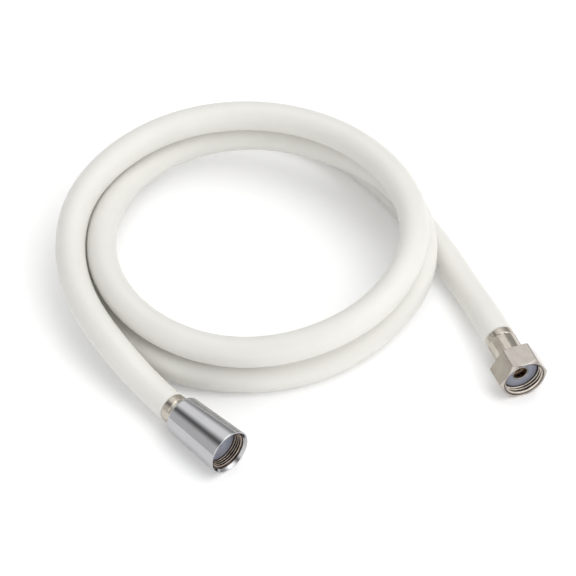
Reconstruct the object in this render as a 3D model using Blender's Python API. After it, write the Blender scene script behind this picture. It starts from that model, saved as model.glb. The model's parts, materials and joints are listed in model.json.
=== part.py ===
"""Smooth shower hose, 1.6 m end to end, lying in a loose coil of a little over two and a half turns.

A conical swivel nut is on the handset end and a hexagonal one on the wall end. Each nut turns on
the flange of a barbed tail, which is pushed into the hose and held by a crimped ferrule.
Metres, +Z up, +X to the right and +Y away from whoever looks at the coil with both nuts near them.
"""
import math

import bmesh
import bpy
import numpy as np
from mathutils import Matrix, Vector

MM = 0.001
FIT = 0.3 * MM                  # gap between faces that touch on the real hose
FLOOR_GAP = 0.02 * MM           # under what rests on the floor
EDGE = 0.3 * MM                 # broken edges of the small turned pieces
ROUND_SIDES = 48
TAIL_SIDES = 32

# the hose
HOSE_R = 7.7 * MM
HOSE_WALL = 2.3 * MM
HOSE_POINT_COUNT = 76           # points along the free run
SHOULDER = 0.9 * MM             # length over which the hose is squeezed down to its ferrule
SHOULDER_SHARE = 0.93           # of the hose's radius, a third of the way along the shoulder

# crimped ferrule
FERRULE_L = 19.8 * MM
FERRULE_WALL = 0.45 * MM        # at the middle of a crimped flat
CRIMP_FLATS = 12
SIDES_PER_FLAT = 4
CRIMP_APOTHEM = 7.15 * MM
CRIMP_CORNER = 0.2 * MM         # corners of the crimp stand this far outside its flats
CRIMP_BLEND = 0.8 * MM          # from the crimp to the plain rim
RIM_STEP = 0.25 * MM            # rim outside the corners of the crimp
RIM_L = 3.4 * MM                # plain rim at the hose
FERRULE_ROUND = 1.0 * MM
LIP_T = 0.8 * MM
LIP_GRIP = 1.0 * MM             # how far the lip reaches below the neck

# barbed tail
FLANGE_T = 2.0 * MM
NECK_CLEARANCE = 1.1 * MM       # between the neck and the inside of the ferrule
NECK_WALL = 1.7 * MM            # round the counterbore in the flange
COLLAR_L = 1.6 * MM             # stop for the end of the hose
TAIL_WALL = 0.5 * MM            # at the root of a barb
BARB_DEPTH = 0.35 * MM
BARBS = 4
BARB_RISE = 0.25                # share of a barb's pitch on its steep side
STEM_SHORT = 1.2 * MM           # stem stops this far inside the ferrule

# G1/2 thread that both nuts carry, as its plain bore
THREAD_MINOR_R = 9.32 * MM
THREAD_MAJOR_R = 10.48 * MM
NUT_CLEARANCE = 0.4 * MM        # between a nut and the ferrule that it turns round

# sealing washers
WASHER_T = 2.2 * MM
HANDSET_HOLE_R = 1.2 * MM       # limits the flow to the handset
WALL_HOLE_R = 4.3 * MM

# conical nut
CONE_L = 35.4 * MM
CONE_WALL = 1.37 * MM           # outside the thread, at the mouth
CONE_REAR_R = 10.37 * MM
CONE_LIP = 0.8 * MM
CONE_ROUND = 1.6 * MM
CONE_WASHER_DEPTH = 7.2 * MM
CONE_NECK_L = 10.6 * MM         # bare neck between the tail's flange and the ferrule

# hexagonal nut
HEX_L = 13.4 * MM
HEX_WALL = 1.02 * MM            # between the thread and a flat
HEX_CHAMFER = 1.6 * MM
HEX_EDGE_R = 0.9 * MM           # rounding of the six long edges
HEX_WASHER_DEPTH = 5.0 * MM
HEX_NECK_L = 1.3 * MM

# worked out from the sizes above
CONE_FRONT_R = THREAD_MAJOR_R + CONE_WALL
HEX_FLATS = 2 * (THREAD_MAJOR_R + HEX_WALL)     # takes a 23 mm spanner
CRIMP_R = CRIMP_APOTHEM + CRIMP_CORNER
FERRULE_R = CRIMP_R + RIM_STEP
FERRULE_BORE_R = CRIMP_APOTHEM - FERRULE_WALL
HOSE_R_IN_FERRULE = FERRULE_BORE_R - FIT
HOSE_BORE_IN_FERRULE = HOSE_R_IN_FERRULE - HOSE_WALL
GRIPPED_L = FERRULE_L - LIP_T - COLLAR_L - 2 * FIT
NECK_R = FERRULE_BORE_R - NECK_CLEARANCE
COUNTERBORE_R = NECK_R - NECK_WALL
BARB_R = HOSE_BORE_IN_FERRULE - FIT
TAIL_BORE_R = BARB_R - BARB_DEPTH - TAIL_WALL
SOCKET_R = THREAD_MINOR_R - FIT         # what seats inside a nut
NUT_BORE_R = FERRULE_R + NUT_CLEARANCE
HEX_CORNER_R = (HEX_FLATS / 2 - HEX_EDGE_R) / math.cos(math.pi / 6) + HEX_EDGE_R
SEATED_L = WASHER_T + FIT + FLANGE_T    # washer and flange, one behind the other
CONE_REAR = CONE_WASHER_DEPTH + SEATED_L + CONE_NECK_L + FERRULE_L     # from the mouth to the ferrule's end
HEX_REAR = HEX_WASHER_DEPTH + SEATED_L + HEX_NECK_L + FERRULE_L

# where the two mouths lie on the floor, and the way they face
HANDSET_PLACE = (-0.0331, -0.1181)
HANDSET_HEADING = math.radians(-47.0)
WALL_PLACE = (0.1121, -0.0709)
WALL_HEADING = math.radians(-68.8)

# middle of the hose from the handset end to the wall end, chosen by hand
ROUTE = (
    (-0.0870, -0.0597, 0.0159), (-0.1070, -0.0285, 0.0209), (-0.1158, 0.0045, 0.0235),
    (-0.1125, 0.0370, 0.0280), (-0.0945, 0.0660, 0.0320), (-0.0615, 0.0885, 0.0345),
    (-0.0230, 0.0940, 0.0360), (0.0150, 0.0810, 0.0380), (0.0435, 0.0540, 0.0395),
    (0.0580, 0.0200, 0.0400), (0.0550, -0.0170, 0.0395), (0.0315, -0.0505, 0.0360),
    (-0.0050, -0.0650, 0.0290), (-0.0425, -0.0615, 0.0240), (-0.0750, -0.0430, 0.0235),
    (-0.0960, -0.0110, 0.0230), (-0.1000, 0.0290, 0.0200), (-0.0860, 0.0680, 0.0165),
    (-0.0530, 0.0935, 0.0170), (-0.0150, 0.0960, 0.0195), (0.0215, 0.0805, 0.0223),
    (0.0500, 0.0555, 0.0240), (0.0636, 0.0192, 0.0221), (0.0597, -0.0094, 0.0166),
    (0.0400, -0.0365, 0.0099), (0.0070, -0.0590, 0.0077), (-0.0300, -0.0655, 0.0077),
    (-0.0670, -0.0560, 0.0077), (-0.0970, -0.0255, 0.0077), (-0.1100, 0.0150, 0.0077),
    (-0.1050, 0.0600, 0.0077), (-0.0790, 0.1020, 0.0077), (-0.0400, 0.1180, 0.0077),
    (0.0010, 0.1105, 0.0077), (0.0380, 0.0800, 0.0077), (0.0640, 0.0415, 0.0077),
    (0.0840, 0.0005, 0.0077),
)


def clear_scene():
    for thing in list(bpy.data.objects):
        bpy.data.objects.remove(thing, do_unlink=True)


def material(name, colour, roughness, metallic):
    mat = bpy.data.materials.new(name)
    mat.use_nodes = True
    shader = mat.node_tree.nodes["Principled BSDF"]
    shader.inputs["Base Color"].default_value = (*colour, 1.0)
    shader.inputs["Roughness"].default_value = roughness
    shader.inputs["Metallic"].default_value = metallic
    mat.diffuse_color = (*colour, 1.0)
    return mat


def mouth_frame(place, height, heading, rise):
    """Frame at a mouth: local +Z out of it, local +Y as near to straight up as it can be."""
    mouth = Vector((*place, height))
    level = math.cos(rise)
    axis = Vector((level * math.cos(heading), level * math.sin(heading), math.sin(rise)))
    side = Vector((0, 0, 1)).cross(axis).normalized()
    up = axis.cross(side)
    frame = Matrix((side, up, axis)).transposed().to_4x4()
    frame.translation = mouth
    return frame


def ring_solid(name, rings, mat, frame):
    """Closed annular solid: each ring is a loop of points, the last ring joins the first."""
    mesh = bpy.data.meshes.new(name)
    bm = bmesh.new()
    loops = [[bm.verts.new(p) for p in ring] for ring in rings]
    for near, far in zip(loops, loops[1:] + loops[:1]):
        for i in range(len(near)):
            j = (i + 1) % len(near)
            bm.faces.new((near[i], near[j], far[j], far[i]))
    bmesh.ops.recalc_face_normals(bm, faces=bm.faces)
    bm.to_mesh(mesh)
    bm.free()
    mesh.shade_smooth()
    mesh.set_sharp_from_angle(angle=math.radians(28))
    mesh.materials.append(mat)
    obj = bpy.data.objects.new(name, mesh)
    bpy.context.collection.objects.link(obj)
    obj.matrix_world = frame
    return obj


def turned(name, profile, mat, frame, sides=ROUND_SIDES):
    """Solid of revolution about local Z from a closed profile of (radius, depth behind the mouth)."""
    turn = [math.tau * i / sides for i in range(sides)]
    rings = [[(r * math.cos(a), r * math.sin(a), -depth) for a in turn] for r, depth in profile]
    return ring_solid(name, rings, mat, frame)


def resting_cone():
    """The conical nut lies on its side, so its axis rises towards the mouth by the half angle."""
    side_l = CONE_L - CONE_LIP - CONE_ROUND
    rise = math.atan2(CONE_FRONT_R - CONE_REAR_R, side_l)
    height = (CONE_FRONT_R + CONE_LIP * math.tan(rise)) * math.cos(rise) + FLOOR_GAP
    return mouth_frame(HANDSET_PLACE, height, HANDSET_HEADING, rise)


def resting_hexagon():
    """The hexagonal nut lies on one of its flats, so its axis is level."""
    return mouth_frame(WALL_PLACE, HEX_FLATS / 2 + FLOOR_GAP, WALL_HEADING, 0.0)


def rounded_edge(radius, depth, corner, facing_rear, steps=4):
    """Quarter arc in a profile, round its outer edge at the front or at the rear."""
    arc = [math.pi / 2 * k / steps for k in range(steps + 1)]
    if facing_rear:
        return [(radius - corner * (1 - math.cos(a)), depth - corner * (1 - math.sin(a))) for a in arc]
    return [(radius - corner * (1 - math.cos(a)), depth + corner * (1 - math.sin(a))) for a in reversed(arc)]


def socket_profile(length, washer_depth):
    """Inside of a nut from the rear to the mouth: ferrule bore, shoulder, threaded socket, chamfer."""
    shoulder = washer_depth + SEATED_L + FIT
    return [
        (NUT_BORE_R, length), (NUT_BORE_R, shoulder), (THREAD_MINOR_R, shoulder),
        (THREAD_MINOR_R, THREAD_MAJOR_R - THREAD_MINOR_R), (THREAD_MAJOR_R, 0.0),
    ]


def cone_nut(frame):
    chrome = material("chrome", (0.78, 0.79, 0.80), 0.08, 1.0)
    profile = rounded_edge(CONE_FRONT_R, 0.0, CONE_LIP, False)
    profile += rounded_edge(CONE_REAR_R, CONE_L, CONE_ROUND, True)
    profile += socket_profile(CONE_L, CONE_WASHER_DEPTH)
    return turned("cone_nut", profile, chrome, frame)


def hexagon_outline(steps=4):
    """Hexagon with rounded corners, two of its flats square to the local Y axis."""
    centre_r = HEX_CORNER_R - HEX_EDGE_R
    outline = []
    for k in range(6):
        corner = math.tau * k / 6
        for i in range(steps + 1):
            a = corner + math.radians(60) * (i / steps - 0.5)
            outline.append((centre_r * math.cos(corner) + HEX_EDGE_R * math.cos(a),
                            centre_r * math.sin(corner) + HEX_EDGE_R * math.sin(a)))
    return outline


def hex_nut(frame):
    """Turned blank, chamfered to a round rim in front, cut to a hexagonal prism."""
    nickel = material("nickel_nut", (0.66, 0.63, 0.58), 0.28, 1.0)
    spare = MM                  # the blank stands outside the corners, and the cutter past the ends
    blank_r = HEX_CORNER_R + spare
    slope = HEX_CHAMFER / (HEX_CORNER_R - HEX_FLATS / 2)
    profile = [
        (HEX_FLATS / 2 - EDGE, 0.0), (HEX_FLATS / 2, EDGE), (blank_r, slope * (blank_r - HEX_FLATS / 2)),
        (blank_r, HEX_L - spare - EDGE), (HEX_CORNER_R - EDGE, HEX_L),
    ]
    profile += socket_profile(HEX_L, HEX_WASHER_DEPTH)
    nut = turned("hex_nut", profile, nickel, frame)

    prism_mesh = bpy.data.meshes.new("hex_flats")
    bm = bmesh.new()
    ends = []
    for depth in (-spare, HEX_L + spare):
        ends.append([bm.verts.new((x, y, -depth)) for x, y in hexagon_outline()])
        bm.faces.new(ends[-1])
    for i in range(len(ends[0])):
        j = (i + 1) % len(ends[0])
        bm.faces.new((ends[0][i], ends[0][j], ends[1][j], ends[1][i]))
    bmesh.ops.recalc_face_normals(bm, faces=bm.faces)
    bm.to_mesh(prism_mesh)
    bm.free()
    flats = bpy.data.objects.new("hex_flats", prism_mesh)
    bpy.context.collection.objects.link(flats)
    flats.matrix_world = frame
    flats.display_type = "WIRE"
    flats.hide_render = True

    trim = nut.modifiers.new("hexagon", "BOOLEAN")
    trim.operation = "INTERSECT"
    trim.solver = "EXACT"
    trim.object = flats
    return nut


def washer(name, frame, depth, hole_r):
    rubber = material(name + "_rubber", (0.33, 0.36, 0.43), 0.55, 0.0)
    back = depth + WASHER_T
    profile = [
        (hole_r, depth), (SOCKET_R - EDGE, depth), (SOCKET_R, depth + EDGE),
        (SOCKET_R, back - EDGE), (SOCKET_R - EDGE, back), (hole_r, back),
    ]
    return turned(name, profile, rubber, frame)


def tail(name, frame, washer_depth, ferrule_rear):
    """Flanged tail: the flange seats the nut, a groove takes the ferrule's lip, barbs grip the hose."""
    brass = material(name + "_brass", (0.56, 0.42, 0.26), 0.30, 1.0)
    flange = washer_depth + WASHER_T + FIT
    groove = ferrule_rear - FERRULE_L - FIT
    groove_end = groove + LIP_T + 2 * FIT
    collar_end = groove_end + COLLAR_L
    stem_end = ferrule_rear - STEM_SHORT
    profile = [
        (COUNTERBORE_R, flange), (SOCKET_R, flange), (SOCKET_R, flange + FLANGE_T),
        (NECK_R, flange + FLANGE_T), (NECK_R, groove), (NECK_R - LIP_GRIP - FIT, groove),
        (NECK_R - LIP_GRIP - FIT, groove_end), (NECK_R, groove_end), (NECK_R, collar_end),
    ]
    pitch = (stem_end - collar_end) / BARBS
    for k in range(BARBS):
        root = collar_end + pitch * k
        profile += [(BARB_R - BARB_DEPTH, root), (BARB_R, root + BARB_RISE * pitch)]
    profile += [
        (BARB_R - BARB_DEPTH, stem_end), (TAIL_BORE_R, stem_end),
        (TAIL_BORE_R, flange + FLANGE_T), (COUNTERBORE_R, flange + FLANGE_T),
    ]
    return turned(name, profile, brass, frame, TAIL_SIDES)


def ferrule(name, frame, rear):
    """Thin cup over the hose's end: plain rim at the hose, crimped flats, lip turned in front."""
    nickel = material(name + "_nickel", (0.70, 0.64, 0.55), 0.22, 1.0)
    front = rear - FERRULE_L
    crimp_end = rear - RIM_L
    lip_r = NECK_R - LIP_GRIP
    # radius, depth and whether the flats are pressed in there
    stations = [(lip_r, front, False)]
    stations += [(r, depth, True) for r, depth in rounded_edge(CRIMP_R, front, FERRULE_ROUND, False)]
    stations += [
        (CRIMP_R, crimp_end - CRIMP_BLEND, True), (FERRULE_R, crimp_end, False),
        (FERRULE_R, rear - EDGE / 2, False), (FERRULE_R - EDGE / 2, rear, False),
        (FERRULE_BORE_R, rear, False), (FERRULE_BORE_R, front + LIP_T, False), (lip_r, front + LIP_T, False),
    ]
    sides = CRIMP_FLATS * SIDES_PER_FLAT
    flat_turn = math.tau / CRIMP_FLATS
    rings = []
    for radius, depth, pressed in stations:
        ring = []
        for i in range(sides):
            a = math.tau * i / sides
            off_flat = (a + flat_turn / 2) % flat_turn - flat_turn / 2
            r = min(radius, CRIMP_APOTHEM / math.cos(off_flat)) if pressed else radius
            ring.append((r * math.cos(a), r * math.sin(a), -depth))
        rings.append(ring)
    return ring_solid(name, rings, nickel, frame)


def smooth_curve(points, start_dir, end_dir, per=20):
    """Cubic spline with continuous curvature through the points, clamped to both end directions."""
    pts = np.array(points, dtype=float)
    count = len(pts)
    step = np.linalg.norm(np.diff(pts, axis=0), axis=1)
    slope = np.diff(pts, axis=0) / step[:, None]
    matrix = np.zeros((count, count))
    right = np.zeros((count, 3))
    for i in range(1, count - 1):
        matrix[i, i - 1:i + 2] = step[i - 1], 2 * (step[i - 1] + step[i]), step[i]
        right[i] = 6 * (slope[i] - slope[i - 1])
    matrix[0, :2] = 2 * step[0], step[0]
    right[0] = 6 * (slope[0] - np.array(start_dir))
    matrix[-1, -2:] = step[-1], 2 * step[-1]
    right[-1] = 6 * (np.array(end_dir) - slope[-1])
    bend = np.linalg.solve(matrix, right)
    out = []
    for i in range(count - 1):
        h = step[i]
        for b in np.linspace(0, h, per, endpoint=False):
            a = h - b
            out.append(bend[i] * a ** 3 / (6 * h) + bend[i + 1] * b ** 3 / (6 * h)
                       + (pts[i] / h - bend[i] * h / 6) * a + (pts[i + 1] / h - bend[i + 1] * h / 6) * b)
    out.append(pts[-1])
    return np.array(out)


def evenly_spaced(curve, count):
    along = np.concatenate([[0.0], np.cumsum(np.linalg.norm(np.diff(curve, axis=0), axis=1))])
    at = np.linspace(0.0, along[-1], count)
    return np.column_stack([np.interp(at, along, curve[:, k]) for k in range(3)])


def hose(handset, wall):
    """The hose: a curve with a round bevel, hollowed to its wall, squeezed where the ferrules hold it."""
    vinyl = material("vinyl", (0.84, 0.83, 0.79), 0.38, 0.0)
    squeezed = HOSE_R_IN_FERRULE / HOSE_R
    ends = []
    for frame, rear in ((handset, CONE_REAR), (wall, HEX_REAR)):
        stations = [
            (rear - GRIPPED_L, squeezed), (rear + FIT, squeezed),
            (rear + FIT + SHOULDER / 3, SHOULDER_SHARE), (rear + FIT + SHOULDER, 1.0),
        ]
        ends.append([(frame @ Vector((0, 0, -depth)), scale) for depth, scale in stations])
    leave = -np.array(handset.col[2][:3])
    arrive = np.array(wall.col[2][:3])
    free = smooth_curve([ends[0][1][0], *ROUTE, ends[1][1][0]], leave, arrive)
    free = evenly_spaced(free, HOSE_POINT_COUNT)
    free[:, 2] = np.maximum(free[:, 2], HOSE_R)
    points = ends[0] + [(p, 1.0) for p in free[1:-1]] + ends[1][::-1]

    curve = bpy.data.curves.new("hose", "CURVE")
    curve.dimensions = "3D"
    curve.bevel_depth = HOSE_R
    curve.bevel_resolution = 4
    curve.use_fill_caps = False
    spline = curve.splines.new("POLY")
    spline.points.add(len(points) - 1)
    for knot, (place, scale) in zip(spline.points, points):
        knot.co = (*place, 1.0)
        knot.radius = scale
    curve.materials.append(vinyl)
    obj = bpy.data.objects.new("hose", curve)
    bpy.context.collection.objects.link(obj)
    hollow = obj.modifiers.new("hollow", "SOLIDIFY")
    hollow.thickness = HOSE_WALL
    hollow.offset = -1.0
    hollow.use_rim = True
    return obj


def build():
    clear_scene()
    handset = resting_cone()
    wall = resting_hexagon()

    cone_nut(handset)
    washer("handset_washer", handset, CONE_WASHER_DEPTH, HANDSET_HOLE_R)
    tail("handset_tail", handset, CONE_WASHER_DEPTH, CONE_REAR)
    ferrule("handset_ferrule", handset, CONE_REAR)

    hex_nut(wall)
    washer("wall_washer", wall, HEX_WASHER_DEPTH, WALL_HOLE_R)
    tail("wall_tail", wall, HEX_WASHER_DEPTH, HEX_REAR)
    ferrule("wall_ferrule", wall, HEX_REAR)

    hose(handset, wall)


build()
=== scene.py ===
import json
import math

import bmesh
import bpy
import numpy as np
from mathutils import Matrix, Vector


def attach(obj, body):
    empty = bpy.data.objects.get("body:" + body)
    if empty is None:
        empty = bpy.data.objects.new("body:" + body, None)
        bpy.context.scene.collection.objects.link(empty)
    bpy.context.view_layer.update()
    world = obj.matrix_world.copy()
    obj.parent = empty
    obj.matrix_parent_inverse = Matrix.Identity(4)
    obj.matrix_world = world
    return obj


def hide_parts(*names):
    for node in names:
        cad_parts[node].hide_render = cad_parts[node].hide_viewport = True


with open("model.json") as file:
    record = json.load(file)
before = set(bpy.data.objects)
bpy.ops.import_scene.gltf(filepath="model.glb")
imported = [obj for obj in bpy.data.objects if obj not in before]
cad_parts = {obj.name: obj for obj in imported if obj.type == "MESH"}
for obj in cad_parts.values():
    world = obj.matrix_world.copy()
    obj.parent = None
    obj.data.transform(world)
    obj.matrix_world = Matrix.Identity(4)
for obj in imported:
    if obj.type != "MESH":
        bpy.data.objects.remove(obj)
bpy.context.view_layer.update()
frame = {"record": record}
joints = {joint["name"]: joint for joint in frame["record"]["behaviour"]["joints"]}
mm = 0.001
# an edge that turns by more than this is drawn sharp
sharpAngle = math.radians(38)

# shared helpers


def mouthFrame(jointName):
    # local +Z out of the nut's mouth, local +Y as near to straight up as it can be
    joint = joints[jointName]
    axis = Vector(joint["axis"]).normalized()
    side = Vector((0, 0, 1)).cross(axis).normalized()
    place = Matrix((side, axis.cross(side), axis)).transposed().to_4x4()
    place.translation = Vector(joint["pos_m"])
    return place


def smoothStep(low, high, value):
    t = np.clip((value - low) / (high - low), 0.0, 1.0)
    return t * t * (3 - 2 * t)


def quarterArc(radius, depth, corner, facingRear, steps=8):
    # rounds the outer edge of a turned body at its front or its rear
    arc = [math.pi / 2 * k / steps for k in range(steps + 1)]
    if facingRear:
        return [(radius - corner * (1 - math.cos(a)), depth - corner * (1 - math.sin(a))) for a in arc]
    arc.reverse()
    return [(radius - corner * (1 - math.cos(a)), depth + corner * (1 - math.sin(a))) for a in arc]


def evenAngles(count):
    return np.arange(count) * math.tau / count


def ringBand(profile, angles):
    # every (radius, depth) becomes a ring; either may be a number or one value per angle
    rings = []
    for radius, depth in profile:
        radius = np.broadcast_to(radius, angles.shape)
        depth = np.broadcast_to(depth, angles.shape)
        rings.append(np.column_stack([radius * np.cos(angles), radius * np.sin(angles), -depth]))
    return rings


def loftPiece(name, bands, place, body, replaced, weighted=False):
    # bands are (rings, material); the rings of all bands form one closed annular solid
    rings = [ring for band, _ in bands for ring in band]
    owner = [index for index, (band, _) in enumerate(bands) for _ in band]
    count = len(rings[0])
    verts = np.concatenate(rings)
    faces = []
    kinds = []
    for k in range(len(rings)):
        here = k * count
        there = ((k + 1) % len(rings)) * count
        for i in range(count):
            j = (i + 1) % count
            faces.append((here + i, here + j, there + j, there + i))
        kinds += [owner[k]] * count
    mesh = bpy.data.meshes.new(name)
    mesh.from_pydata(verts.tolist(), [], faces)
    for _, material in bands:
        mesh.materials.append(material)
    mesh.polygons.foreach_set("material_index", kinds)
    shell = bmesh.new()
    shell.from_mesh(mesh)
    bmesh.ops.recalc_face_normals(shell, faces=shell.faces)
    shell.to_mesh(mesh)
    shell.free()
    mesh.shade_smooth()
    mesh.set_sharp_from_angle(angle=sharpAngle)
    fromAxis = mesh.attributes.new("fromAxis", "FLOAT", "POINT")
    fromAxis.data.foreach_set("value", np.hypot(verts[:, 0], verts[:, 1]))
    mesh.transform(place)
    piece = bpy.data.objects.new(name, mesh)
    bpy.context.collection.objects.link(piece)
    if weighted:
        evenShade = piece.modifiers.new("evenShade", "WEIGHTED_NORMAL")
        evenShade.keep_sharp = True
    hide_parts(*replaced)
    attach(piece, body)
    return piece


# crest and root are shares of half a turn, the rest are shares of the pitch
threadForm = {"crest": 0.08, "root": 0.92, "fade": 0.7, "rowsPerPitch": 16}


def threadRadius(thread, depth, angles):
    # right-hand internal thread with rounded crests and roots, faded out at its inner end
    turns = depth / thread["pitch"] + angles / math.tau + thread["phase"]
    wave = 1 - np.abs(2 * (turns % 1.0) - 1)
    height = smoothStep(threadForm["crest"], threadForm["root"], wave)
    fadeFrom = thread["end"] - threadForm["fade"] * thread["pitch"]
    height = height * (1 - smoothStep(fadeFrom, thread["end"], depth))
    return thread["minor"] + (thread["major"] - thread["minor"]) * height


def threadBand(thread, seat, start, startRadius, angles):
    # from the seat behind the washer out to the entry cone at the mouth
    rows = [(thread["minor"], seat), (thread["minor"], thread["end"])]
    step = thread["pitch"] / threadForm["rowsPerPitch"]
    count = int((thread["end"] - start) / step)
    for k in range(1, count + 1):
        depth = thread["end"] - k * step
        entry = startRadius - thread["entrySlope"] * (depth - start)
        rows.append((np.maximum(threadRadius(thread, depth, angles), entry), depth))
    return ringBand(rows, angles)


# shared surface effects


def socketGroup(name, inputs, outputs):
    tree = bpy.data.node_groups.new(name, "ShaderNodeTree")
    for label, kind, value in inputs:
        socket = tree.interface.new_socket(label, in_out="INPUT", socket_type=kind)
        socket.default_value = value
    for label, kind in outputs:
        tree.interface.new_socket(label, in_out="OUTPUT", socket_type=kind)
    return tree, tree.nodes.new("NodeGroupInput"), tree.nodes.new("NodeGroupOutput")


def mathNode(tree, operation, first, second, clamp=False):
    node = tree.nodes.new("ShaderNodeMath")
    node.operation = operation
    node.use_clamp = clamp
    for socket, value in zip(node.inputs, (first, second)):
        if isinstance(value, (int, float)):
            socket.default_value = value
        else:
            tree.links.new(value, socket)
    return node.outputs["Value"]


def noiseNode(tree, vector, scale, detail, roughness=0.5):
    node = tree.nodes.new("ShaderNodeTexNoise")
    node.inputs["Detail"].default_value = detail
    node.inputs["Roughness"].default_value = roughness
    tree.links.new(vector, node.inputs["Vector"])
    if isinstance(scale, (int, float)):
        node.inputs["Scale"].default_value = scale
    else:
        tree.links.new(scale, node.inputs["Scale"])
    return node.outputs["Fac"]


def mixColour(tree, factor, first, second):
    node = tree.nodes.new("ShaderNodeMix")
    node.data_type = "RGBA"
    tree.links.new(factor, node.inputs["Factor"])
    tree.links.new(first, node.inputs["A"])
    tree.links.new(second, node.inputs["B"])
    return node.outputs["Result"]


def surfaceGrainGroup():
    # broad blotches vary colour and roughness, fine grain gives a height
    tree, given, made = socketGroup(
        "surfaceGrain",
        [
            ("Colour", "NodeSocketColor", (0.8, 0.8, 0.8, 1)),
            ("Blotch", "NodeSocketColor", (0.7, 0.7, 0.7, 1)),
            ("Blotch Scale", "NodeSocketFloat", 60.0),
            ("Grain Scale", "NodeSocketFloat", 900.0),
            ("Roughness", "NodeSocketFloat", 0.4),
            ("Roughness Spread", "NodeSocketFloat", 0.1),
        ],
        [("Colour", "NodeSocketColor"), ("Roughness", "NodeSocketFloat"), ("Height", "NodeSocketFloat")],
    )
    where = tree.nodes.new("ShaderNodeTexCoord").outputs["Object"]
    blotch = noiseNode(tree, where, given.outputs["Blotch Scale"], 3.0)
    mask = tree.nodes.new("ShaderNodeMapRange")
    mask.interpolation_type = "SMOOTHSTEP"
    mask.inputs["From Min"].default_value = 0.35
    mask.inputs["From Max"].default_value = 0.7
    tree.links.new(blotch, mask.inputs["Value"])
    colour = mixColour(tree, mask.outputs["Result"], given.outputs["Colour"], given.outputs["Blotch"])
    swing = mathNode(tree, "SUBTRACT", blotch, 0.5)
    swing = mathNode(tree, "MULTIPLY", swing, given.outputs["Roughness Spread"])
    roughness = mathNode(tree, "ADD", swing, given.outputs["Roughness"], clamp=True)
    grain = noiseNode(tree, where, given.outputs["Grain Scale"], 2.0, 0.6)
    tree.links.new(colour, made.inputs["Colour"])
    tree.links.new(roughness, made.inputs["Roughness"])
    tree.links.new(grain, made.inputs["Height"])
    return tree


def ringPaintedShadeGroup():
    # paints shade by the distance from the nut's axis: thread roots and the outer ring of each washer, deep
    # in the nut, get a darker colour standing in for shade
    tree, given, made = socketGroup(
        "ringPaintedShade",
        [
            ("Colour", "NodeSocketColor", (0.8, 0.8, 0.8, 1)),
            ("Painted Shade Colour", "NodeSocketColor", (0.5, 0.5, 0.5, 1)),
            ("Near Radius", "NodeSocketFloat", 9.0 * mm),
            ("Far Radius", "NodeSocketFloat", 10.5 * mm),
        ],
        [("Colour", "NodeSocketColor"), ("Mask", "NodeSocketFloat")],
    )
    fromAxis = tree.nodes.new("ShaderNodeAttribute")
    fromAxis.attribute_name = "fromAxis"
    span = tree.nodes.new("ShaderNodeMapRange")
    span.interpolation_type = "SMOOTHSTEP"
    tree.links.new(fromAxis.outputs["Fac"], span.inputs["Value"])
    tree.links.new(given.outputs["Near Radius"], span.inputs["From Min"])
    tree.links.new(given.outputs["Far Radius"], span.inputs["From Max"])
    colour = mixColour(tree, span.outputs["Result"], given.outputs["Colour"], given.outputs["Painted Shade Colour"])
    tree.links.new(colour, made.inputs["Colour"])
    tree.links.new(span.outputs["Result"], made.inputs["Mask"])
    return tree


surfaceGrain = surfaceGrainGroup()
ringPaintedShade = ringPaintedShadeGroup()
grainHeight = 0.1 * mm
# how far red, green and blue light spread under a surface
lightSpread = (2 * mm, 1.8 * mm, 1.5 * mm)


def finishMaterial(name, look):
    material = bpy.data.materials.new(name)
    material.use_nodes = True
    tree = material.node_tree
    shader = tree.nodes["Principled BSDF"]
    grain = tree.nodes.new("ShaderNodeGroup")
    grain.node_tree = surfaceGrain
    grain.inputs["Colour"].default_value = (*look["colour"], 1)
    grain.inputs["Blotch"].default_value = (*look["blotch"], 1)
    grain.inputs["Blotch Scale"].default_value = look["blotchScale"]
    grain.inputs["Grain Scale"].default_value = look["grainScale"]
    grain.inputs["Roughness"].default_value = look["roughness"]
    grain.inputs["Roughness Spread"].default_value = look["spread"]
    colour = grain.outputs["Colour"]
    # painted shade: the colour darkens with the distance from the nut's axis
    if "paintedShadeColour" in look:
        ring = tree.nodes.new("ShaderNodeGroup")
        ring.node_tree = ringPaintedShade
        ring.inputs["Painted Shade Colour"].default_value = (*look["paintedShadeColour"], 1)
        ring.inputs["Near Radius"].default_value = look["nearRadius"]
        ring.inputs["Far Radius"].default_value = look["farRadius"]
        tree.links.new(colour, ring.inputs["Colour"])
        colour = ring.outputs["Colour"]
    bump = tree.nodes.new("ShaderNodeBump")
    bump.inputs["Strength"].default_value = look["bump"]
    bump.inputs["Distance"].default_value = grainHeight
    tree.links.new(grain.outputs["Height"], bump.inputs["Height"])
    tree.links.new(bump.outputs["Normal"], shader.inputs["Normal"])
    tree.links.new(colour, shader.inputs["Base Color"])
    tree.links.new(grain.outputs["Roughness"], shader.inputs["Roughness"])
    shader.inputs["Metallic"].default_value = look["metal"]
    shader.inputs["Subsurface Weight"].default_value = look.get("subsurface", 0.0)
    shader.inputs["Subsurface Radius"].default_value = lightSpread
    shader.inputs["Subsurface Scale"].default_value = 1.0
    return material


print("helpers and node groups ready")

# camera

shot = {
    "target": Vector((-0.005, 0.003, 0.0)),
    "place": Vector((-0.005, -1.0295, 1.0881)),
    "lens": 182.04,
    "sensor": 36.0,
    "near": 0.05,
    "far": 50.0,
}
cameraData = bpy.data.cameras.new("photoCamera")
cameraData.lens = shot["lens"]
cameraData.sensor_width = shot["sensor"]
cameraData.clip_start = shot["near"]
cameraData.clip_end = shot["far"]
camera = bpy.data.objects.new("photoCamera", cameraData)
camera.location = shot["place"]
camera.rotation_euler = (shot["target"] - shot["place"]).to_track_quat("-Z", "Y").to_euler()
bpy.context.collection.objects.link(camera)
bpy.context.scene.camera = camera
print("camera ready")

# materials

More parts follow.
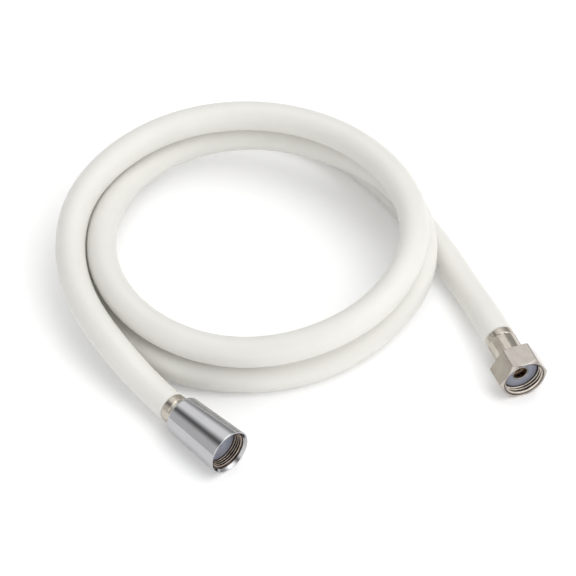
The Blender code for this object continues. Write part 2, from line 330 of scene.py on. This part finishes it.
vinylLook = {
    "colour": (0.762, 0.753, 0.713), "blotch": (0.747, 0.738, 0.698),
    "blotchScale": 45.0, "grainScale": 1400.0,
    "roughness": 0.42, "spread": 0.12, "bump": 0.06, "metal": 0.0, "subsurface": 0.06,
}
chromeLook = {
    "colour": (0.485, 0.485, 0.495), "blotch": (0.465, 0.465, 0.475),
    "blotchScale": 130.0, "grainScale": 2500.0,
    "roughness": 0.07, "spread": 0.05, "bump": 0.01, "metal": 1.0,
}
nutLook = {
    "colour": (0.49, 0.452, 0.415), "blotch": (0.45, 0.412, 0.375),
    "blotchScale": 260.0, "grainScale": 3200.0,
    "roughness": 0.14, "spread": 0.10, "bump": 0.06, "metal": 1.0,
}
ferruleLook = {
    "colour": (0.53, 0.49, 0.43), "blotch": (0.48, 0.44, 0.38),
    "blotchScale": 300.0, "grainScale": 3000.0,
    "roughness": 0.22, "spread": 0.12, "bump": 0.05, "metal": 1.0,
}
coneThreadLook = {
    "colour": (0.46, 0.39, 0.34), "blotch": (0.38, 0.31, 0.27),
    "blotchScale": 400.0, "grainScale": 2500.0,
    "roughness": 0.26, "spread": 0.15, "bump": 0.06, "metal": 1.0,
    # the thread roots darken to this colour: painted shade in the grooves
    "paintedShadeColour": (0.07, 0.055, 0.05), "nearRadius": 9.45 * mm, "farRadius": 10.0 * mm,
}
hexThreadLook = {
    "colour": (0.66, 0.60, 0.53), "blotch": (0.56, 0.50, 0.43),
    "blotchScale": 400.0, "grainScale": 2500.0,
    "roughness": 0.24, "spread": 0.12, "bump": 0.05, "metal": 1.0,
    # the thread roots darken to this colour: painted shade in the grooves
    "paintedShadeColour": (0.11, 0.095, 0.085), "nearRadius": 9.6 * mm, "farRadius": 10.4 * mm,
}
rubberLook = {
    "colour": (0.27, 0.28, 0.335), "blotch": (0.245, 0.255, 0.305),
    "blotchScale": 350.0, "grainScale": 2600.0,
    "roughness": 0.50, "spread": 0.12, "bump": 0.18, "metal": 0.0,
    # the washer's outer ring darkens to this colour: painted shade where it meets the nut's wall
    "paintedShadeColour": (0.19, 0.20, 0.245), "nearRadius": 7.8 * mm, "farRadius": 9.3 * mm,
}
brassLook = {
    "colour": (0.44, 0.36, 0.30), "blotch": (0.36, 0.29, 0.24),
    "blotchScale": 300.0, "grainScale": 2200.0,
    "roughness": 0.30, "spread": 0.15, "bump": 0.06, "metal": 1.0,
}
vinyl = finishMaterial("vinyl", vinylLook)
chrome = finishMaterial("chrome", chromeLook)
nutNickel = finishMaterial("nutNickel", nutLook)
ferruleNickel = finishMaterial("ferruleNickel", ferruleLook)
coneThreadMetal = finishMaterial("coneThreadMetal", coneThreadLook)
hexThreadMetal = finishMaterial("hexThreadMetal", hexThreadLook)
rubber = finishMaterial("rubber", rubberLook)
tailBrass = finishMaterial("tailBrass", brassLook)
print("materials ready")

handset = mouthFrame("handset_swivel")
wall = mouthFrame("wall_swivel")

# hose

hose = {
    "radius": 7.7 * mm,
    "wall": 2.3 * mm,
    "gripped": 6.4 * mm,
    "grippedLength": 16.8 * mm,
    "clearOfRim": 0.3 * mm,
    "shoulder": 1.3 * mm,
    "shoulderRings": 7,
    "clearOfShoulder": 2.0 * mm,
    "ringStep": 3.6 * mm,
    "roundSteps": 14,
    # beyond this distance from the ferrules the hose may lie on the floor
    "freeAfter": 8.0 * mm,
    "handsetRear": 42.1 * mm,
    "wallRear": 30.6 * mm,
    "length": 1.56,
    "route": (
        (-0.0870, -0.0597, 0.0159), (-0.1070, -0.0285, 0.0209), (-0.1158, 0.0045, 0.0235),
        (-0.1125, 0.0370, 0.0280), (-0.0945, 0.0660, 0.0320), (-0.0615, 0.0885, 0.0345),
        (-0.0230, 0.0940, 0.0360), (0.0150, 0.0810, 0.0380), (0.0435, 0.0540, 0.0395),
        (0.0580, 0.0200, 0.0400), (0.0550, -0.0170, 0.0395), (0.0315, -0.0505, 0.0360),
        (-0.0050, -0.0650, 0.0290), (-0.0425, -0.0615, 0.0240), (-0.0750, -0.0430, 0.0235),
        (-0.0960, -0.0110, 0.0230), (-0.1000, 0.0290, 0.0200), (-0.0860, 0.0680, 0.0165),
        (-0.0530, 0.0935, 0.0170), (-0.0150, 0.0960, 0.0195), (0.0215, 0.0805, 0.0223),
        (0.0500, 0.0555, 0.0240), (0.0636, 0.0192, 0.0221), (0.0597, -0.0094, 0.0166),
        (0.0400, -0.0365, 0.0099), (0.0070, -0.0590, 0.0077), (-0.0300, -0.0655, 0.0077),
        (-0.0670, -0.0560, 0.0077), (-0.0970, -0.0255, 0.0077), (-0.1100, 0.0150, 0.0077),
        (-0.1050, 0.0600, 0.0077), (-0.0790, 0.1020, 0.0077), (-0.0400, 0.1180, 0.0077),
        (0.0010, 0.1105, 0.0077), (0.0380, 0.0800, 0.0077), (0.0640, 0.0415, 0.0077),
        (0.0840, 0.0005, 0.0077),
    ),
}


def smoothCurve(points, startDir, endDir, per=24):
    # cubic spline with continuous curvature, clamped to both end directions
    pts = np.array(points, dtype=float)
    count = len(pts)
    step = np.linalg.norm(np.diff(pts, axis=0), axis=1)
    slope = np.diff(pts, axis=0) / step[:, None]
    matrix = np.zeros((count, count))
    right = np.zeros((count, 3))
    for i in range(1, count - 1):
        matrix[i, i - 1:i + 2] = step[i - 1], 2 * (step[i - 1] + step[i]), step[i]
        right[i] = 6 * (slope[i] - slope[i - 1])
    matrix[0, :2] = 2 * step[0], step[0]
    right[0] = 6 * (slope[0] - np.array(startDir))
    matrix[-1, -2:] = step[-1], 2 * step[-1]
    right[-1] = 6 * (np.array(endDir) - slope[-1])
    bend = np.linalg.solve(matrix, right)
    out = []
    for i in range(count - 1):
        h = step[i]
        for b in np.linspace(0, h, per, endpoint=False):
            a = h - b
            out.append(bend[i] * a ** 3 / (6 * h) + bend[i + 1] * b ** 3 / (6 * h)
                       + (pts[i] / h - bend[i] * h / 6) * a + (pts[i + 1] / h - bend[i + 1] * h / 6) * b)
    out.append(pts[-1])
    return np.array(out)


def along(place, depth):
    return np.array(place @ Vector((0, 0, -depth)))


def hosePath():
    start = hose["handsetRear"] + hose["clearOfRim"]
    stop = hose["wallRear"] + hose["clearOfRim"]
    run = smoothCurve(
        [along(handset, start), *hose["route"], along(wall, stop)],
        -np.array(handset.col[2][:3]), np.array(wall.col[2][:3]),
    )
    walked = np.concatenate([[0.0], np.cumsum(np.linalg.norm(np.diff(run, axis=0), axis=1))])
    first = hose["shoulder"] + hose["clearOfShoulder"]
    inner = np.arange(first, walked[-1] - hose["shoulder"] - hose["clearOfShoulder"], hose["ringStep"])
    shoulder = np.linspace(0.0, hose["shoulder"], hose["shoulderRings"])
    at = np.concatenate([shoulder, inner, walked[-1] - shoulder[::-1]])
    path = np.column_stack([np.interp(at, walked, run[:, k]) for k in range(3)])
    fromEnd = np.minimum(at, walked[-1] - at)
    share = hose["gripped"] / hose["radius"]
    swell = np.sqrt(1 - (1 - np.clip(fromEnd / hose["shoulder"], 0, 1)) ** 2)
    scale = share + (1 - share) * swell
    free = fromEnd > hose["freeAfter"]
    path[free, 2] = np.maximum(path[free, 2], hose["radius"])
    # the tube runs on inside both ferrules
    inHandset = along(handset, hose["handsetRear"] - hose["grippedLength"])
    inWall = along(wall, hose["wallRear"] - hose["grippedLength"])
    path = np.vstack([inHandset, path, inWall])
    return path, np.concatenate([[share], scale, [share]])


def makeHose():
    path, scale = hosePath()
    curve = bpy.data.curves.new("hoseTube", "CURVE")
    curve.dimensions = "3D"
    curve.bevel_depth = hose["radius"]
    curve.bevel_resolution = hose["roundSteps"]
    curve.use_fill_caps = False
    spline = curve.splines.new("POLY")
    spline.points.add(len(path) - 1)
    for knot, place, share in zip(spline.points, path, scale):
        knot.co = (*place, 1.0)
        knot.radius = share
    curve.materials.append(vinyl)
    piece = bpy.data.objects.new("hoseTube", curve)
    bpy.context.collection.objects.link(piece)
    hollow = piece.modifiers.new("hollow", "SOLIDIFY")
    hollow.thickness = hose["wall"]
    hollow.offset = -1.0
    hollow.use_rim = True
    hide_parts("hose")
    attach(piece, "hose_body")
    return piece


hoseTube = makeHose()
print("hose ready")

# conical nut

coneNut = {
    "length": 35.4 * mm,
    "frontRadius": 11.85 * mm,
    "rearRadius": 10.37 * mm,
    "lip": 0.55 * mm,
    "rearRound": 1.6 * mm,
    "bore": 8.0 * mm,
    "seat": 12.0 * mm,
    "entryRadius": 11.15 * mm,
    "entryEnd": 10.25 * mm,
    "entryDepth": 1.5 * mm,
    "columns": 144,
    "rearEdge": 0.3 * mm,
    # (inside the entry's radius, depth) of the rounded lip at the mouth
    "lipRows": ((0.1 * mm, 0.2 * mm), (0.0, 0.04 * mm)),
    "entryTurn": (0.15 * mm, 0.3 * mm),
    "thread": {
        "minor": 9.32 * mm, "major": 10.2 * mm, "pitch": 1.3 * mm, "end": 7.1 * mm,
        "entrySlope": 0.9, "phase": 0.0,
    },
}


def rearBore(size):
    # broken edge at the rear of a nut, then its bore up to the seat of the flange
    return [
        (size["bore"] + size["rearEdge"], size["length"]),
        (size["bore"], size["length"] - size["rearEdge"]),
        (size["bore"], size["seat"]),
    ]


def makeConeNut():
    size = coneNut
    angles = evenAngles(size["columns"])
    body = quarterArc(size["frontRadius"], 0.0, size["lip"], False)
    body += quarterArc(size["rearRadius"], size["length"], size["rearRound"], True)
    body += rearBore(size)
    turnOut, turnForward = size["entryTurn"]
    entry = [
        (size["entryEnd"], size["entryDepth"]),
        (size["entryEnd"] + turnOut, size["entryDepth"] - turnForward),
    ]
    entry += [(size["entryRadius"] - inside, depth) for inside, depth in size["lipRows"]]
    thread = threadBand(size["thread"], size["seat"], size["entryDepth"], size["entryEnd"], angles)
    bands = [(ringBand(body, angles), chrome), (thread, coneThreadMetal), (ringBand(entry, angles), chrome)]
    return loftPiece("coneNutShell", bands, handset, "handset_nut", ["cone_nut"])


makeConeNut()
print("conical nut ready")

# hexagonal nut

hexNut = {
    "length": 13.4 * mm,
    "apothem": 11.5 * mm,
    "edge": 0.9 * mm,
    "rim": 11.42 * mm,
    "rimRound": 0.18 * mm,
    "rimTurn": 0.07 * mm,
    "chamferSlope": 0.84,
    "crease": 0.12 * mm,
    "rearChamfer": 0.3 * mm,
    "bore": 8.0 * mm,
    "seat": 9.8 * mm,
    "mouthRadius": 11.1 * mm,
    "mouthEnd": 10.7 * mm,
    "mouthDepth": 0.3 * mm,
    "rearEdge": 0.3 * mm,
    "rearRound": 0.15 * mm,
    "rearStep": 0.25 * mm,
    # how far a corner stands out where the rear chamfer starts and where it is full
    "rearChamferFrom": 0.2 * mm,
    "rearChamferTo": 1.6 * mm,
    "rearFace": 12.7 * mm,
    # (inside the mouth's radius, depth) of the rounded lip at the mouth
    "lipRows": ((0.06 * mm, 0.12 * mm), (0.0, 0.02 * mm)),
    "cornerColumns": 9,
    "flatColumns": 17,
    "thread": {
        "minor": 9.32 * mm, "major": 10.48 * mm, "pitch": 1.814 * mm, "end": 4.9 * mm,
        "entrySlope": 1.5, "phase": 0.5,
    },
}
sixth = math.pi / 3


def hexCorner():
    # distance from the axis to the middle of a rounded corner's arc, and half the arc's angle
    centre = (hexNut["apothem"] - hexNut["edge"]) / math.cos(sixth / 2)
    return centre, math.atan2(hexNut["edge"] / 2, centre + hexNut["edge"] * math.cos(sixth / 2))


def hexAngles():
    # columns gathered at the rounded corners
    reach = hexCorner()[1]
    sector = np.concatenate([
        np.linspace(-reach, reach, hexNut["cornerColumns"]),
        np.linspace(reach, sixth - reach, hexNut["flatColumns"])[1:-1],
    ])
    return np.concatenate([sector + sixth * k for k in range(6)])


def hexRadius(angles):
    centre, reach = hexCorner()
    fromCorner = (angles + sixth / 2) % sixth - sixth / 2
    fromFlat = np.abs(fromCorner) - sixth / 2
    flat = hexNut["apothem"] / np.cos(fromFlat)
    inside = np.sqrt(np.maximum(hexNut["edge"] ** 2 - (centre * np.sin(fromCorner)) ** 2, 0))
    corner = centre * np.cos(fromCorner) + inside
    return np.where(np.abs(fromCorner) <= reach + 1e-6, corner, flat)


def makeHexNut():
    size = hexNut
    angles = hexAngles()
    outer = hexRadius(angles)
    rise = outer - size["rim"]
    front = size["rimRound"]
    slope = size["chamferSlope"]
    crease = front + slope * rise
    cut = size["crease"]
    chamfer = smoothStep(size["rearChamferFrom"], size["rearChamferTo"], rise)
    rear = size["length"] - size["rearChamfer"] * chamfer - size["rearRound"]
    body = [(size["rim"] - size["rimRound"], 0.0), (size["rim"] - size["rimTurn"], size["rimTurn"])]
    body += [(size["rim"] + rise * share, front + slope * rise * share) for share in (0.0, 0.33, 0.66)]
    body += [
        (outer - cut, crease - slope * cut), (outer - 0.25 * cut, crease + 0.15 * cut),
        (outer, crease + cut), (outer, rear - size["rearRound"]), (outer - 0.4 * size["rearRound"], rear),
        (np.minimum(outer - size["rearStep"], size["rearFace"]), size["length"]),
    ]
    body += rearBore(size)
    entry = [(size["mouthEnd"], size["mouthDepth"])]
    entry += [(size["mouthRadius"] - inside, depth) for inside, depth in size["lipRows"]]
    thread = threadBand(size["thread"], size["seat"], size["mouthDepth"], size["mouthEnd"], angles)
    bands = [
        (ringBand(body, angles), nutNickel), (thread, hexThreadMetal), (ringBand(entry, angles), nutNickel),
    ]
    return loftPiece("hexNutShell", bands, wall, "wall_nut", ["hex_nut"], weighted=True)


makeHexNut()
print("hexagonal nut ready")

# washers

washers = {
    "radius": 9.02 * mm,
    "thickness": 2.2 * mm,
    "round": 0.3 * mm,
    "holeRound": 0.12 * mm,
    "columns": 96,
    "handset": {"depth": 7.2 * mm, "hole": 1.2 * mm},
    "wall": {"depth": 5.0 * mm, "hole": 4.3 * mm},
}


def makeWasher(name, place, body, node, size):
    angles = evenAngles(washers["columns"])
    front = size["depth"]
    back = front + washers["thickness"]
    hole = size["hole"]
    edge = washers["holeRound"]
    profile = [(hole + edge * (1 - math.sin(a)), front + edge * (1 - math.cos(a)))
               for a in (math.pi / 2, math.pi / 3, math.pi / 6, 0.0)]
    profile += quarterArc(washers["radius"], front, washers["round"], False, 4)
    profile += quarterArc(washers["radius"], back, washers["round"], True, 4)
    profile.append((hole, back))
    return loftPiece(name, [(ringBand(profile, angles), rubber)], place, body, [node])


makeWasher("handsetSeal", handset, "handset_nut", "handset_washer", washers["handset"])
makeWasher("wallSeal", wall, "wall_nut", "wall_washer", washers["wall"])
print("washers ready")

# barbed tails

tails = {
    "columns": 64,
    "bore": 2.95 * mm,
    "counterbore": 3.9 * mm,
    "rim": 0.25 * mm,
    "collarRadius": 4.1 * mm,
    "collarBore": 3.6 * mm,
    "collarShort": 0.05 * mm,
    "flangeRadius": 9.02 * mm,
    "flange": 2.0 * mm,
    "neck": 5.6 * mm,
    "groove": 4.3 * mm,
    "lip": 0.8 * mm,
    "fit": 0.3 * mm,
    "collar": 1.6 * mm,
    "barb": 3.8 * mm,
    "barbDepth": 0.35 * mm,
    "barbs": 4,
    "rise": 0.25,
    "short": 1.2 * mm,
    "ferrule": 19.8 * mm,
}


def makeTail(name, place, node, washerDepth, ferruleRear, collared):
    size = tails
    angles = evenAngles(size["columns"])
    front = washerDepth + washers["thickness"] + size["fit"]
    groove = ferruleRear - size["ferrule"] - size["fit"]
    grooveEnd = groove + size["lip"] + 2 * size["fit"]
    collarEnd = grooveEnd + size["collar"]
    stemEnd = ferruleRear - size["short"]
    profile = [
        (size["flangeRadius"], front), (size["flangeRadius"], front + size["flange"]),
        (size["neck"], front + size["flange"]), (size["neck"], groove), (size["groove"], groove),
        (size["groove"], grooveEnd), (size["neck"], grooveEnd), (size["neck"], collarEnd),
    ]
    pitch = (stemEnd - collarEnd) / size["barbs"]
    for k in range(size["barbs"]):
        root = collarEnd + pitch * k
        profile += [(size["barb"] - size["barbDepth"], root), (size["barb"], root + size["rise"] * pitch)]
    profile += [
        (size["barb"] - size["barbDepth"], stemEnd), (size["bore"], stemEnd),
        (size["bore"], front + size["flange"]), (size["counterbore"], front + size["flange"]),
    ]
    if collared:
        # thin collar through the washer's hole, nearly flush with the washer's face
        tip = washerDepth + size["collarShort"]
        half = (size["collarRadius"] - size["collarBore"]) / 2
        rim = [(size["collarBore"], front), (size["collarBore"], tip + half)]
        rim += [(size["collarBore"] + half * (1 - math.cos(a)), tip + half * (1 - math.sin(a)))
                for a in np.linspace(math.pi / 6, math.pi * 5 / 6, 5)]
        rim += [(size["collarRadius"], tip + half), (size["collarRadius"], front)]
    else:
        rim = [
            (size["counterbore"], front + size["rim"]), (size["counterbore"] + size["rim"], front),
        ]
    # the rim band at the bore (the collar on the wall tail) is nickel instead of brass: its shape is
    # modelled, its brighter colour is a painted highlight for the bright ring
    bands = [(ringBand(profile, angles), tailBrass), (ringBand(rim, angles), ferruleNickel)]
    return loftPiece(name, bands, place, "hose_body", [node])


makeTail("handsetTail", handset, "handset_tail", washers["handset"]["depth"], hose["handsetRear"], False)
makeTail("wallTail", wall, "wall_tail", washers["wall"]["depth"], hose["wallRear"], True)
print("tails ready")

# crimped ferrules

ferrules = {
    "length": 19.8 * mm,
    "bore": 6.7 * mm,
    "apothem": 7.15 * mm,
    "corner": 7.35 * mm,
    "rimRadius": 7.6 * mm,
    "rimLength": 3.4 * mm,
    "blend": 0.8 * mm,
    "flats": 12,
    "turned": math.radians(12.0),
    "ridge": 0.2 * mm,
    "ridgeHalf": 0.045,
    "lip": 0.8 * mm,
    "lipRadius": 4.6 * mm,
    "round": 1.0 * mm,
    "roundEnd": 0.4 * mm,
    "rimRound": 0.28 * mm,
    "rimStart": 0.3 * mm,
    "rearEdge": 0.1 * mm,
    "flatColumns": 9,
    "ridgeColumns": 11,
}


def crimpRadius(angles):
    # flat between the dies, with a fine ridge where two dies met
    size = ferrules
    turn = math.tau / size["flats"]
    offFlat = (angles + turn / 2) % turn - turn / 2
    flat = size["apothem"] / np.cos(offFlat)
    fromRidge = turn / 2 - np.abs(offFlat)
    ridge = size["ridge"] * (1 - smoothStep(0.0, size["ridgeHalf"], fromRidge))
    return np.minimum(flat, size["corner"]) + ridge


def crimpAngles():
    # columns gathered at the ridges
    turn = math.tau / ferrules["flats"]
    half = 1.2 * ferrules["ridgeHalf"]
    sector = np.concatenate([
        np.linspace(-turn / 2 + half, turn / 2 - half, ferrules["flatColumns"]),
        np.linspace(turn / 2 - half, turn / 2 + half, ferrules["ridgeColumns"])[1:-1],
    ])
    return np.concatenate([sector + turn * k for k in range(ferrules["flats"])])


def makeFerrule(name, place, node, rear):
    size = ferrules
    angles = crimpAngles()
    crimp = crimpRadius(angles)
    front = rear - size["length"]
    crimpEnd = rear - size["rimLength"]
    rows = [(size["lipRadius"], front)]
    for radius, depth in quarterArc(size["corner"], front, size["round"], False, 6):
        rows.append((np.minimum(radius, crimp), depth))
    rows += [(crimp, front + size["round"] + size["roundEnd"]), (crimp, crimpEnd - size["blend"])]
    for share in (0.2, 0.4, 0.6, 0.8, 1.0):
        blend = share * share * (3 - 2 * share)
        rows.append((crimp + (size["rimRadius"] - crimp) * blend, crimpEnd - size["blend"] * (1 - share)))
    rows.append((size["rimRadius"], crimpEnd + size["rimStart"]))
    rows += quarterArc(size["rimRadius"], rear, size["rimRound"], True, 5)
    rows += [
        (size["bore"] + size["rearEdge"] / 2, rear), (size["bore"], rear - size["rearEdge"]),
        (size["bore"], front + size["lip"]), (size["lipRadius"], front + size["lip"]),
    ]
    place = place @ Matrix.Rotation(size["turned"], 4, "Z")
    bands = [(ringBand(rows, angles), ferruleNickel)]
    return loftPiece(name, bands, place, "hose_body", [node], weighted=True)


makeFerrule("handsetFerrule", handset, "handset_ferrule", hose["handsetRear"])
makeFerrule("wallFerrule", wall, "wall_ferrule", hose["wallRear"])
print("ferrules ready")

# light tent, floor and lamps

tent = {
    "radius": 3.0,
    "halfLength": 4.5,
    "sides": 90,
    "level": 1.3,
    "frontLevel": 1.8,
    "frontFrom": 0.3,
    "frontTo": 2.2,
    "frontEndLevel": 1.26,
    "rearEndLevel": 0.7,
    "fill": 0.13,
    # degrees above the right-hand horizon, half width, soft edge, brightness over the fill
    "panels": {
        "rightWall": {"centre": 20, "half": 30, "edge": 30, "level": 0.22},
        "overhead": {"centre": 72, "half": 27, "edge": 34, "level": 0.82},
        "leftWall": {"centre": 160, "half": 28, "edge": 30, "level": 0.47},
    },
}


def emitter(name, level):
    material = bpy.data.materials.new(name)
    material.use_nodes = True
    tree = material.node_tree
    tree.nodes.clear()
    glow = tree.nodes.new("ShaderNodeEmission")
    glow.inputs["Color"].default_value = (level, level, level, 1)
    out = tree.nodes.new("ShaderNodeOutputMaterial")
    tree.links.new(glow.outputs["Emission"], out.inputs["Surface"])
    material.cycles.emission_sampling = "NONE"
    return material, tree, glow


def panelMaterial():
    material, tree, glow = emitter("tentPanels", 1.0)
    where = tree.nodes.new("ShaderNodeTexCoord").outputs["Object"]
    parts = tree.nodes.new("ShaderNodeSeparateXYZ")
    tree.links.new(where, parts.inputs["Vector"])
    angle = mathNode(tree, "ARCTAN2", parts.outputs["Z"], parts.outputs["X"])
    total = tent["level"] * tent["fill"]
    for panel in tent["panels"].values():
        off = mathNode(tree, "SUBTRACT", angle, math.radians(panel["centre"]))
        off = mathNode(tree, "ABSOLUTE", off, 0.0)
        mask = tree.nodes.new("ShaderNodeMapRange")
        mask.interpolation_type = "SMOOTHSTEP"
        mask.inputs["From Min"].default_value = math.radians(panel["half"] + panel["edge"] / 2)
        mask.inputs["From Max"].default_value = math.radians(panel["half"] - panel["edge"] / 2)
        tree.links.new(off, mask.inputs["Value"])
        glowing = mathNode(tree, "MULTIPLY", mask.outputs["Result"], tent["level"] * panel["level"])
        total = mathNode(tree, "ADD", glowing, total)
    tree.links.new(total, glow.inputs["Color"])
    # the tent is brighter in front of the nuts, which lights the near sides of the hose
    front = tree.nodes.new("ShaderNodeMapRange")
    front.interpolation_type = "SMOOTHSTEP"
    front.inputs["From Min"].default_value = -tent["frontTo"]
    front.inputs["From Max"].default_value = -tent["frontFrom"]
    front.inputs["To Min"].default_value = tent["frontLevel"]
    front.inputs["To Max"].default_value = 1.0
    tree.links.new(parts.outputs["Y"], front.inputs["Value"])
    tree.links.new(front.outputs["Result"], glow.inputs["Strength"])
    return material


def makeTent():
    # half a cylinder along the conical nut, so its panels lie along the nut in the reflection
    heading = math.atan2(handset.col[2][1], handset.col[2][0])
    mesh = bpy.data.meshes.new("lightTent")
    verts = []
    for end in (-1, 1):
        for i in range(tent["sides"] + 1):
            a = math.pi * i / tent["sides"]
            across, height = tent["radius"] * math.cos(a), tent["radius"] * math.sin(a)
            verts.append((across, end * tent["halfLength"], height))
    count = tent["sides"] + 1
    faces = [(i, i + 1, count + i + 1, count + i) for i in range(tent["sides"])]
    faces += [tuple(range(count)), tuple(range(2 * count - 1, count - 1, -1))]
    mesh.from_pydata(verts, [], faces)
    mesh.materials.append(panelMaterial())
    mesh.materials.append(emitter("tentFront", tent["frontEndLevel"])[0])
    mesh.materials.append(emitter("tentRear", tent["rearEndLevel"])[0])
    mesh.polygons[-2].material_index = 1
    mesh.polygons[-1].material_index = 2
    piece = bpy.data.objects.new("lightTent", mesh)
    # local X points to the nut's right-hand side
    piece.rotation_euler = (0, 0, heading + math.pi / 2)
    bpy.context.collection.objects.link(piece)
    piece.visible_camera = False
    return piece


paper = {"reach": 5.5, "grey": 0.95, "lift": 0.13, "nearReach": 0.8, "farReach": 3.0, "farLift": 0.45}


def makeFloor():
    mesh = bpy.data.meshes.new("floor")
    reach = paper["reach"]
    corners = [(-reach, -reach, 0), (reach, -reach, 0), (reach, reach, 0), (-reach, reach, 0)]
    mesh.from_pydata(corners, [], [(0, 1, 2, 3)])
    material = bpy.data.materials.new("floorPaper")
    material.use_nodes = True
    tree = material.node_tree
    shader = tree.nodes["Principled BSDF"]
    shader.inputs["Base Color"].default_value = (paper["grey"], paper["grey"], paper["grey"], 1)
    shader.inputs["Roughness"].default_value = 1.0
    shader.inputs["Specular IOR Level"].default_value = 0.0
    # the paper looks white to the eye and in reflections without lighting the hose
    path = tree.nodes.new("ShaderNodeLightPath")
    seen = mathNode(tree, "ADD", path.outputs["Is Camera Ray"], path.outputs["Is Glossy Ray"])
    seen = mathNode(tree, "ADD", seen, path.outputs["Is Transmission Ray"], clamp=True)
    # the lamps reach the far paper less, so it is lifted more to stay white up to the horizon
    where = tree.nodes.new("ShaderNodeNewGeometry").outputs["Position"]
    away = tree.nodes.new("ShaderNodeVectorMath")
    away.operation = "LENGTH"
    tree.links.new(where, away.inputs[0])
    share = tree.nodes.new("ShaderNodeMapRange")
    share.interpolation_type = "SMOOTHSTEP"
    share.inputs["From Min"].default_value = paper["nearReach"]
    share.inputs["From Max"].default_value = paper["farReach"]
    share.inputs["To Min"].default_value = paper["lift"]
    share.inputs["To Max"].default_value = paper["farLift"]
    tree.links.new(away.outputs["Value"], share.inputs["Value"])
    lift = mathNode(tree, "MULTIPLY", seen, share.outputs["Result"])
    shader.inputs["Emission Color"].default_value = (1, 1, 1, 1)
    tree.links.new(lift, shader.inputs["Emission Strength"])
    material.cycles.emission_sampling = "NONE"
    mesh.materials.append(material)
    piece = bpy.data.objects.new("floor", mesh)
    bpy.context.collection.objects.link(piece)
    return piece


# the fill would show as a disc in the chrome, so the metal doesn't mirror it
lamps = {
    "keyLamp": {
        "direction": Vector((0.34, 0.14, 1.0)), "distance": 1.7, "size": 1.3, "power": 4.3,
        "mirrored": True,
    },
    "frontFill": {
        "direction": Vector((-0.15, -1.0, 0.75)), "distance": 2.0, "size": 1.6, "power": 2.6,
        "mirrored": False,
    },
}
worldLevel = 0.98


def makeLamp(name, size):
    light = bpy.data.lights.new(name, "AREA")
    light.shape = "DISK"
    light.size = size["size"]
    light.energy = size["power"]
    lamp = bpy.data.objects.new(name, light)
    lamp.location = size["direction"].normalized() * size["distance"]
    lamp.rotation_euler = size["direction"].to_track_quat("Z", "Y").to_euler()
    bpy.context.collection.objects.link(lamp)
    lamp.visible_camera = False
    lamp.visible_glossy = size["mirrored"]


makeTent()
makeFloor()
for name, size in lamps.items():
    makeLamp(name, size)

world = bpy.data.worlds.new("studio")
bpy.context.scene.world = world
world.use_nodes = True
background = world.node_tree.nodes["Background"]
background.inputs["Color"].default_value = (worldLevel, worldLevel, worldLevel, 1)
background.inputs["Strength"].default_value = 1.0
bpy.context.scene.view_settings.view_transform = "Standard"
print("light and floor ready")
